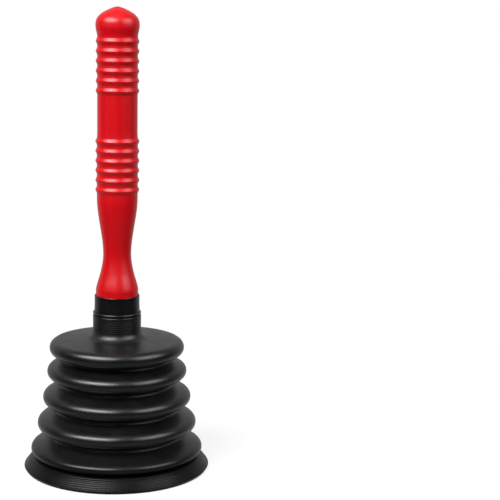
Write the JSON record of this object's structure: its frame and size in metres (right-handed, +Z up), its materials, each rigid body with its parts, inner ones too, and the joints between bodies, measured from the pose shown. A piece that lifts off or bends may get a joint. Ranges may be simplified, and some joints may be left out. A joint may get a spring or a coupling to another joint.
{
  "type": "toilet plunger",
  "caption": "Bellows plunger: a ringed hollow handle plugs onto a collar, and a folding rubber cup with a wide flat lip hangs under it to push and pull water.",
  "frame": {"origin": "middle of the rim's underside, on the surface that the plunger stands on", "axes": "+Z up along the handle's axis; the part is round about Z, so X and Y are free"},
  "size_m": [0.14, 0.14, 0.347],
  "materials": {
    "handle": "glossy red moulded plastic",
    "connector": "smooth black plastic with a soft sheen",
    "seal": "smooth black rubber",
    "cup": "satin black rubber",
    "plate": "smooth dark plastic",
    "fastener": "zinc-plated steel"
  },
  "bodies": {
    "cup": {"bellows_cup": "cup"},
    "grip": {"handle": "handle", "connector": "connector", "sealing_ring": "seal", "clamp_plate": "plate", "bolt_washer": "fastener", "clamp_bolt": "fastener", "clamp_nut": "fastener"}
  },
  "joints": [
    {"name": "plunge", "type": "slide", "parent": "cup", "child": "grip", "axis": [0, 0, -1], "range_m": [-0.01, 0.04], "stiffness_N_per_m": 2500, "deforming": ["bellows_cup"]}
  ]
}
